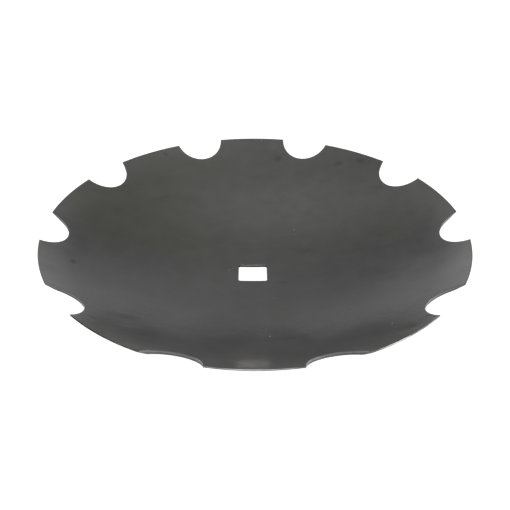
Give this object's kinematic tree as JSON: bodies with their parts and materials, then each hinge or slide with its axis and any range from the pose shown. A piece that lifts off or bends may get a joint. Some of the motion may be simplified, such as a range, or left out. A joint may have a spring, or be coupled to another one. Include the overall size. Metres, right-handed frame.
{
  "type": "notched harrow disc blade",
  "caption": "Spherical dished steel blade for a disc harrow, its bevelled rim cut into lobes by round notches, with a square axle hole.",
  "frame": {"origin": "middle of the square axle hole, level with its lower edges, on which the blade rests", "axes": "+Z along the blade's axis, out of the hollow side; X and Y along the sides of the axle hole; the middle of one lobe on +Y"},
  "size_m": [0.605, 0.61, 0.0892],
  "materials": {
    "blade": "dark grey hardened steel with a thin semi-gloss film, bare bright metal on the ground edge of the rim"
  },
  "bodies": {
    "root": {"disc_blade": "blade"}
  },
  "joints": []
}
